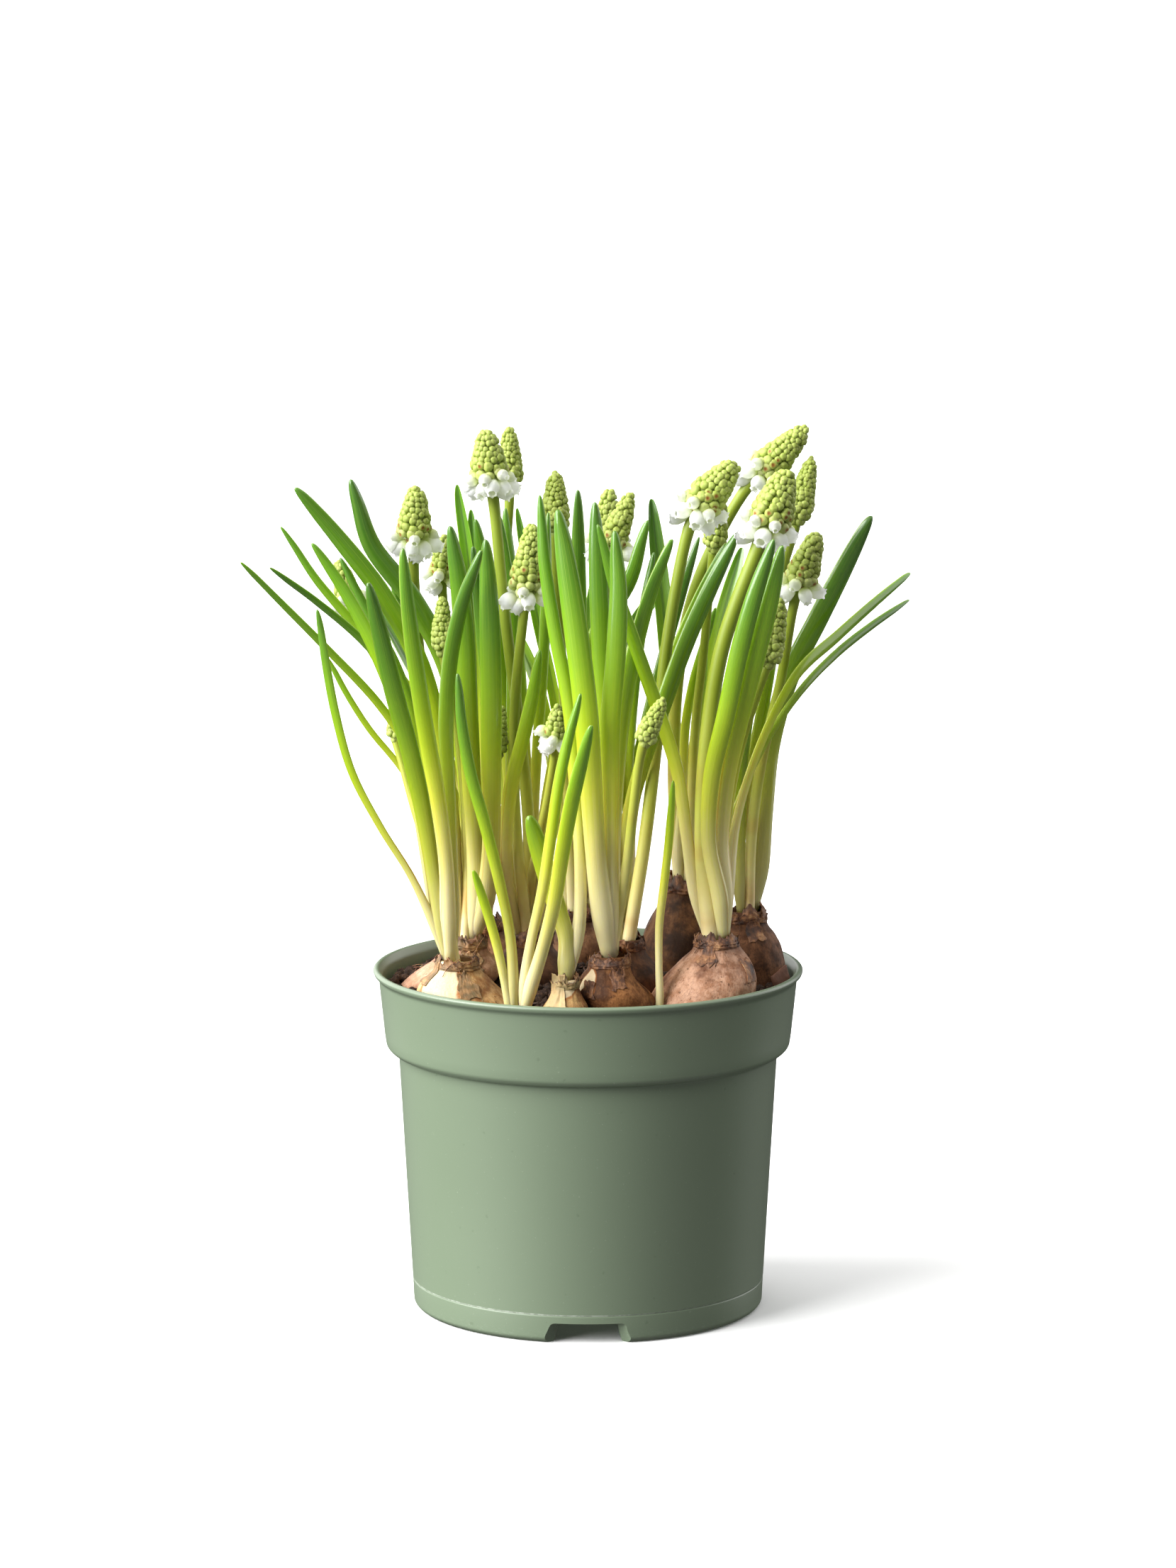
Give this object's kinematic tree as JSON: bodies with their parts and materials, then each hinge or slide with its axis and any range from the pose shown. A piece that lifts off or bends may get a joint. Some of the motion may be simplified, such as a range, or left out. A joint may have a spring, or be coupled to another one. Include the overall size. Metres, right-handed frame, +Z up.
{
  "type": "potted flowering bulb plant",
  "caption": "Grape hyacinths in a round nursery pot: bulbs half buried in soil, narrow channelled leaves, and cone-shaped bud heads with open bells under them.",
  "frame": {"origin": "on the axis of the pot, on the floor that it stands on", "axes": "+Z up along the pot axis, -Y towards the viewer, +X to the viewer's right"},
  "size_m": [0.1846, 0.1322, 0.247],
  "materials": {
    "pot_plastic": "moulded grey-green plastic, satin",
    "soil": "damp dark potting soil",
    "bulb_skin": "dry papery bulb skin",
    "leaf": "waxy green leaf, paler at its foot",
    "stalk_and_buds": "fleshy yellow-green stalk and buds",
    "bell_petals": "white petals"
  },
  "bodies": {
    "root": {"bells_02_1": "bell_petals", "bells_06_1": "bell_petals", "bells_06_2": "bell_petals", "bells_07_1": "bell_petals", "bells_07_2": "bell_petals", "bells_07_3": "bell_petals", "bells_08_1": "bell_petals", "bells_09_2": "bell_petals", "bells_10_2": "bell_petals", "bells_11_2": "bell_petals", "bells_12_2": "bell_petals", "bells_12_3": "bell_petals", "bulb_01": "bulb_skin", "bulb_02": "bulb_skin", "bulb_03": "bulb_skin", "bulb_04": "bulb_skin", "bulb_05": "bulb_skin", "bulb_06": "bulb_skin", "bulb_07": "bulb_skin", "bulb_08": "bulb_skin", "bulb_09": "bulb_skin", "bulb_10": "bulb_skin", "bulb_11": "bulb_skin", "bulb_12": "bulb_skin", "leaves_01": "leaf", "leaves_02": "leaf", "leaves_03": "leaf", "leaves_04": "leaf", "leaves_05": "leaf", "leaves_06": "leaf", "leaves_07": "leaf", "leaves_08": "leaf", "leaves_09": "leaf", "leaves_10": "leaf", "leaves_11": "leaf", "leaves_12": "leaf", "pot": "pot_plastic", "shoot": "leaf", "soil": "soil", "spike_01_1": "stalk_and_buds", "spike_02_1": "stalk_and_buds", "spike_02_2": "stalk_and_buds", "spike_02_3": "stalk_and_buds", "spike_05_1": "stalk_and_buds", "spike_06_1": "stalk_and_buds", "spike_06_2": "stalk_and_buds", "spike_07_1": "stalk_and_buds", "spike_07_2": "stalk_and_buds", "spike_07_3": "stalk_and_buds", "spike_08_1": "stalk_and_buds", "spike_08_2": "stalk_and_buds", "spike_09_1": "stalk_and_buds", "spike_09_2": "stalk_and_buds", "spike_10_1": "stalk_and_buds", "spike_10_2": "stalk_and_buds", "spike_11_1": "stalk_and_buds", "spike_11_2": "stalk_and_buds", "spike_12_1": "stalk_and_buds", "spike_12_2": "stalk_and_buds", "spike_12_3": "stalk_and_buds"}
  },
  "joints": []
}
